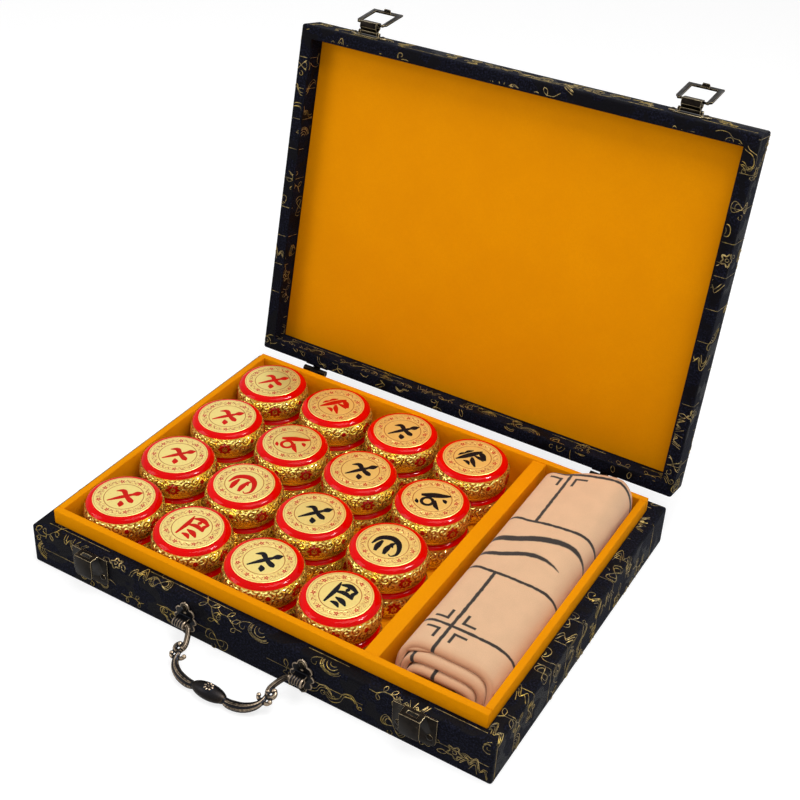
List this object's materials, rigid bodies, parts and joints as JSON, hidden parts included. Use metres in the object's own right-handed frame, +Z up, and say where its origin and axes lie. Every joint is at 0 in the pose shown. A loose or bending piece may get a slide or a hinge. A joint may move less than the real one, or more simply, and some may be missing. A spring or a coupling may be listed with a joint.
{
  "type": "xiangqi set in a hinged case",
  "caption": "Cloth-covered chess case with a hinged lid, draw latches, a swinging handle, a divided tray of stacked round tokens and a rolled cloth board.",
  "frame": {"origin": "centre of the case's flat underside", "axes": "+X along the case's width to the right, +Y to the hinge side, +Z up"},
  "size_m": [0.285, 0.3209, 0.246],
  "materials": {
    "cloth": "navy-black brocade cloth with gold threads, glued over board",
    "liner_board": "boards wrapped in golden-orange lining cloth",
    "lining_cloth": "smooth golden-orange lining cloth",
    "bronze": "dark antique bronze plating, worn bright at the edges",
    "handle_bronze": "cast zinc alloy in dark antique bronze, rubbed bright on its ribs",
    "felt": "soft pale peach suede cloth with dark printed lines",
    "token_red": "gold relief with a glossy red enamel band and red marks",
    "token_black": "gold relief with a glossy red enamel band and black marks"
  },
  "bodies": {
    "case_base": {"base_shell": "cloth", "base_bottom": "cloth", "liner_front": "liner_board", "liner_back": "liner_board", "liner_left": "liner_board", "liner_right": "liner_board", "tray_divider": "liner_board", "token_tray_floor": "lining_cloth", "mat_tray_floor": "lining_cloth", "hinge_base_leaves": "bronze", "hinge_pins": "bronze", "hinge_screws_base": "bronze", "latch_keepers": "bronze", "keeper_screws": "bronze", "handle_mounts": "handle_bronze", "handle_nails": "handle_bronze"},
    "lid": {"lid_shell": "cloth", "lid_lining": "lining_cloth", "hinge_lid_leaves": "bronze", "hinge_screws_lid": "bronze", "latch_plates": "bronze", "latch_plate_screws": "bronze"},
    "lever_left": {"latch_lever_left": "bronze"},
    "lever_right": {"latch_lever_right": "bronze"},
    "loop_left": {"latch_loop_left": "bronze"},
    "loop_right": {"latch_loop_right": "bronze"},
    "handle": {"handle_bail": "handle_bronze"},
    "mat": {"playing_mat": "felt"},
    "token_red_soldier_5": {"token_red_soldier_5": "token_red"},
    "token_red_soldier_1": {"token_red_soldier_1": "token_red"},
    "token_red_advisor_1": {"token_red_advisor_1": "token_red"},
    "token_red_soldier_2": {"token_red_soldier_2": "token_red"},
    "token_red_advisor_2": {"token_red_advisor_2": "token_red"},
    "token_red_soldier_3": {"token_red_soldier_3": "token_red"},
    "token_red_elephant_2": {"token_red_elephant_2": "token_red"},
    "token_red_soldier_4": {"token_red_soldier_4": "token_red"},
    "token_red_horse_2": {"token_red_horse_2": "token_red"},
    "token_red_general": {"token_red_general": "token_red"},
    "token_red_chariot_1": {"token_red_chariot_1": "token_red"},
    "token_red_elephant_1": {"token_red_elephant_1": "token_red"},
    "token_red_chariot_2": {"token_red_chariot_2": "token_red"},
    "token_red_cannon_1": {"token_red_cannon_1": "token_red"},
    "token_red_cannon_2": {"token_red_cannon_2": "token_red"},
    "token_red_horse_1": {"token_red_horse_1": "token_red"},
    "token_black_soldier_5": {"token_black_soldier_5": "token_black"},
    "token_black_soldier_1": {"token_black_soldier_1": "token_black"},
    "token_black_advisor_1": {"token_black_advisor_1": "token_black"},
    "token_black_soldier_2": {"token_black_soldier_2": "token_black"},
    "token_black_advisor_2": {"token_black_advisor_2": "token_black"},
    "token_black_soldier_3": {"token_black_soldier_3": "token_black"},
    "token_black_elephant_2": {"token_black_elephant_2": "token_black"},
    "token_black_soldier_4": {"token_black_soldier_4": "token_black"},
    "token_black_horse_2": {"token_black_horse_2": "token_black"},
    "token_black_general": {"token_black_general": "token_black"},
    "token_black_chariot_1": {"token_black_chariot_1": "token_black"},
    "token_black_elephant_1": {"token_black_elephant_1": "token_black"},
    "token_black_chariot_2": {"token_black_chariot_2": "token_black"},
    "token_black_cannon_1": {"token_black_cannon_1": "token_black"},
    "token_black_cannon_2": {"token_black_cannon_2": "token_black"},
    "token_black_horse_1": {"token_black_horse_1": "token_black"}
  },
  "joints": [
    {"name": "lid_hinge", "type": "hinge", "parent": "case_base", "child": "lid", "pos_m": [0, 0.1092, 0.0259], "axis": [-1, 0, 0], "range_deg": [-101.7, 0]},
    {"name": "lever_left_pivot", "type": "hinge", "parent": "lid", "child": "lever_left", "pos_m": [-0.1005, 0.1619, 0.237], "axis": [-1, 0, 0], "range_deg": [-60, 0]},
    {"name": "lever_right_pivot", "type": "hinge", "parent": "lid", "child": "lever_right", "pos_m": [0.1005, 0.1619, 0.237], "axis": [-1, 0, 0], "range_deg": [-60, 0]},
    {"name": "loop_left_pivot", "type": "hinge", "parent": "lever_left", "child": "loop_left", "pos_m": [-0.1005, 0.16302, 0.24238], "axis": [-1, 0, 0], "range_deg": [-104.5, 0]},
    {"name": "loop_right_pivot", "type": "hinge", "parent": "lever_right", "child": "loop_right", "pos_m": [0.1005, 0.16302, 0.24238], "axis": [-1, 0, 0], "range_deg": [-104.5, 0]},
    {"name": "handle_pivot", "type": "hinge", "parent": "case_base", "child": "handle", "pos_m": [0, -0.1112, 0.0125], "axis": [-1, 0, 0], "range_deg": [0, 110]},
    {"name": "mat_lift", "type": "slide", "parent": "case_base", "child": "mat", "axis": [0, 0, 1], "range_m": [0, 0.05]},
    {"name": "red_soldier_5_lift", "type": "slide", "parent": "case_base", "child": "token_red_soldier_5", "axis": [0, 0, 1], "range_m": [0, 0.045]},
    {"name": "red_soldier_1_lift", "type": "slide", "parent": "token_red_soldier_5", "child": "token_red_soldier_1", "axis": [0, 0, 1], "range_m": [0, 0.045]},
    {"name": "red_advisor_1_lift", "type": "slide", "parent": "case_base", "child": "token_red_advisor_1", "axis": [0, 0, 1], "range_m": [0, 0.045]},
    {"name": "red_soldier_2_lift", "type": "slide", "parent": "token_red_advisor_1", "child": "token_red_soldier_2", "axis": [0, 0, 1], "range_m": [0, 0.045]},
    {"name": "red_advisor_2_lift", "type": "slide", "parent": "case_base", "child": "token_red_advisor_2", "axis": [0, 0, 1], "range_m": [0, 0.045]},
    {"name": "red_soldier_3_lift", "type": "slide", "parent": "token_red_advisor_2", "child": "token_red_soldier_3", "axis": [0, 0, 1], "range_m": [0, 0.045]},
    {"name": "red_elephant_2_lift", "type": "slide", "parent": "case_base", "child": "token_red_elephant_2", "axis": [0, 0, 1], "range_m": [0, 0.045]},
    {"name": "red_soldier_4_lift", "type": "slide", "parent": "token_red_elephant_2", "child": "token_red_soldier_4", "axis": [0, 0, 1], "range_m": [0, 0.045]},
    {"name": "red_horse_2_lift", "type": "slide", "parent": "case_base", "child": "token_red_horse_2", "axis": [0, 0, 1], "range_m": [0, 0.045]},
    {"name": "red_general_lift", "type": "slide", "parent": "token_red_horse_2", "child": "token_red_general", "axis": [0, 0, 1], "range_m": [0, 0.045]},
    {"name": "red_chariot_1_lift", "type": "slide", "parent": "case_base", "child": "token_red_chariot_1", "axis": [0, 0, 1], "range_m": [0, 0.045]},
    {"name": "red_elephant_1_lift", "type": "slide", "parent": "token_red_chariot_1", "child": "token_red_elephant_1", "axis": [0, 0, 1], "range_m": [0, 0.045]},
    {"name": "red_chariot_2_lift", "type": "slide", "parent": "case_base", "child": "token_red_chariot_2", "axis": [0, 0, 1], "range_m": [0, 0.045]},
    {"name": "red_cannon_1_lift", "type": "slide", "parent": "token_red_chariot_2", "child": "token_red_cannon_1", "axis": [0, 0, 1], "range_m": [0, 0.045]},
    {"name": "red_cannon_2_lift", "type": "slide", "parent": "case_base", "child": "token_red_cannon_2", "axis": [0, 0, 1], "range_m": [0, 0.045]},
    {"name": "red_horse_1_lift", "type": "slide", "parent": "token_red_cannon_2", "child": "token_red_horse_1", "axis": [0, 0, 1], "range_m": [0, 0.045]},
    {"name": "black_soldier_5_lift", "type": "slide", "parent": "case_base", "child": "token_black_soldier_5", "axis": [0, 0, 1], "range_m": [0, 0.045]},
    {"name": "black_soldier_1_lift", "type": "slide", "parent": "token_black_soldier_5", "child": "token_black_soldier_1", "axis": [0, 0, 1], "range_m": [0, 0.045]},
    {"name": "black_advisor_1_lift", "type": "slide", "parent": "case_base", "child": "token_black_advisor_1", "axis": [0, 0, 1], "range_m": [0, 0.045]},
    {"name": "black_soldier_2_lift", "type": "slide", "parent": "token_black_advisor_1", "child": "token_black_soldier_2", "axis": [0, 0, 1], "range_m": [0, 0.045]},
    {"name": "black_advisor_2_lift", "type": "slide", "parent": "case_base", "child": "token_black_advisor_2", "axis": [0, 0, 1], "range_m": [0, 0.045]},
    {"name": "black_soldier_3_lift", "type": "slide", "parent": "token_black_advisor_2", "child": "token_black_soldier_3", "axis": [0, 0, 1], "range_m": [0, 0.045]},
    {"name": "black_elephant_2_lift", "type": "slide", "parent": "case_base", "child": "token_black_elephant_2", "axis": [0, 0, 1], "range_m": [0, 0.045]},
    {"name": "black_soldier_4_lift", "type": "slide", "parent": "token_black_elephant_2", "child": "token_black_soldier_4", "axis": [0, 0, 1], "range_m": [0, 0.045]},
    {"name": "black_horse_2_lift", "type": "slide", "parent": "case_base", "child": "token_black_horse_2", "axis": [0, 0, 1], "range_m": [0, 0.045]},
    {"name": "black_general_lift", "type": "slide", "parent": "token_black_horse_2", "child": "token_black_general", "axis": [0, 0, 1], "range_m": [0, 0.045]},
    {"name": "black_chariot_1_lift", "type": "slide", "parent": "case_base", "child": "token_black_chariot_1", "axis": [0, 0, 1], "range_m": [0, 0.045]},
    {"name": "black_elephant_1_lift", "type": "slide", "parent": "token_black_chariot_1", "child": "token_black_elephant_1", "axis": [0, 0, 1], "range_m": [0, 0.045]},
    {"name": "black_chariot_2_lift", "type": "slide", "parent": "case_base", "child": "token_black_chariot_2", "axis": [0, 0, 1], "range_m": [0, 0.045]},
    {"name": "black_cannon_1_lift", "type": "slide", "parent": "token_black_chariot_2", "child": "token_black_cannon_1", "axis": [0, 0, 1], "range_m": [0, 0.045]},
    {"name": "black_cannon_2_lift", "type": "slide", "parent": "case_base", "child": "token_black_cannon_2", "axis": [0, 0, 1], "range_m": [0, 0.045]},
    {"name": "black_horse_1_lift", "type": "slide", "parent": "token_black_cannon_2", "child": "token_black_horse_1", "axis": [0, 0, 1], "range_m": [0, 0.045]}
  ]
}
